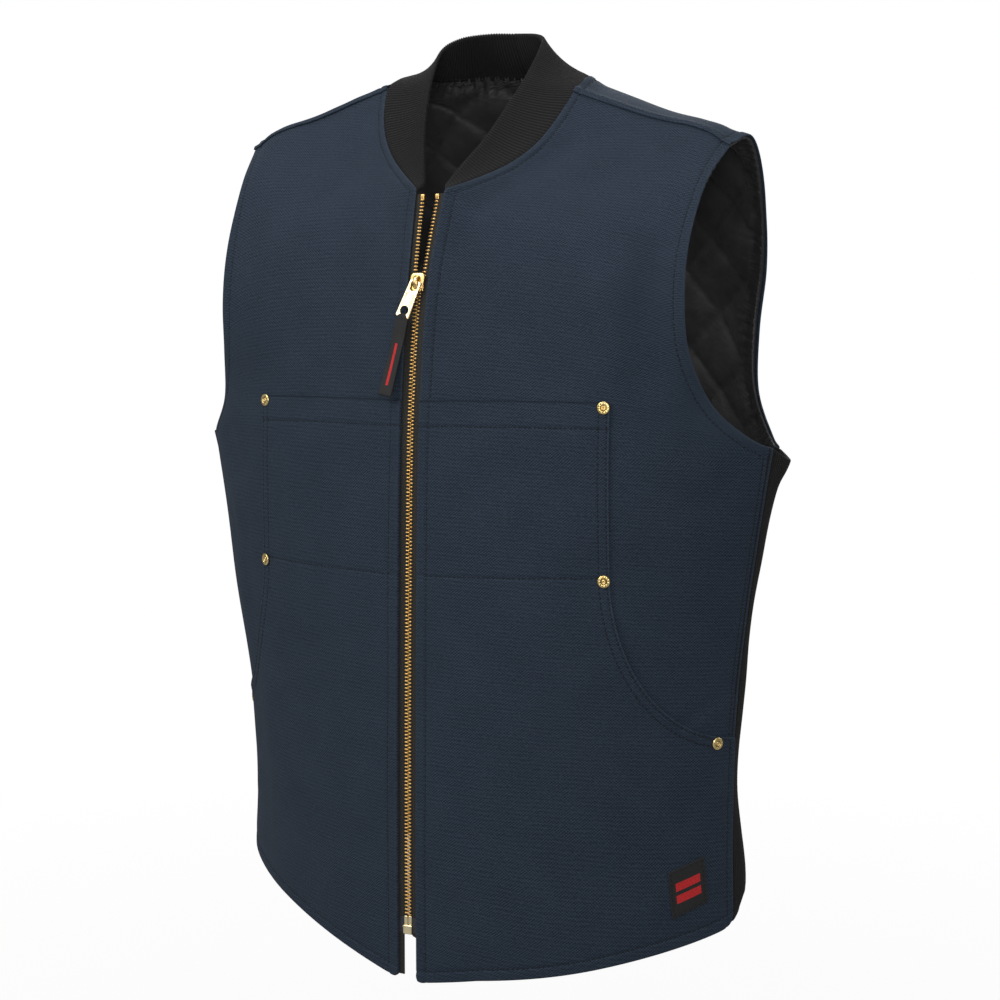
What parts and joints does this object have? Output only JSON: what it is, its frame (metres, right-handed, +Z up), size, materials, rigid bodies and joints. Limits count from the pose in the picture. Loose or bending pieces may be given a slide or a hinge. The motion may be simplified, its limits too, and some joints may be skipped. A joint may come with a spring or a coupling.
{
  "type": "work vest",
  "caption": "Sleeveless canvas work vest with a rib-knit collar and sides, quilted lining, brass front zip and riveted patch pockets.",
  "frame": {"origin": "on the mid plane, level with the neck ends of the front shoulder seams, where the vest hangs on a wearer's shoulders", "axes": "+Z up, the wearer faces -Y, +X is the wearer's left"},
  "size_m": [0.5342, 0.2665, 0.7754],
  "materials": {
    "duck": "firm-hand cotton duck, navy, matt",
    "quilt": "black nylon, diamond quilted",
    "knit": "black rib knit",
    "tape": "woven zip tape",
    "brass": "polished brass, lightly worn",
    "woven": "tight woven ribbon"
  },
  "bodies": {
    "vest": {"front_panel_left": "duck", "front_panel_right": "duck", "pocket_left": "duck", "pocket_right": "duck", "back_panel": "duck", "lining_front_left": "quilt", "lining_front_right": "quilt", "lining_back": "quilt", "collar": "knit", "side_knit_left": "knit", "side_knit_right": "knit", "zip_tape_left": "tape", "zip_tape_right": "tape", "zip_teeth_left": "brass", "zip_teeth_right": "brass", "zip_top_stop_left": "brass", "zip_top_stop_right": "brass", "rivet_top_left": "brass", "rivet_top_right": "brass", "rivet_mid_left": "brass", "rivet_mid_right": "brass", "rivet_low_left": "brass", "rivet_low_right": "brass", "zip_pin": "brass", "zip_box": "brass", "zip_slider": "brass", "label_patch": "woven"},
    "zip_pull": {"pull_tab": "brass", "pull_ribbon": "woven"}
  },
  "joints": [
    {"name": "pull_swing", "type": "hinge", "parent": "vest", "child": "zip_pull", "pos_m": [0, -0.1236, -0.16], "axis": [-0.9455, 0.0633, 0.3194], "range_deg": [0, 150]}
  ]
}
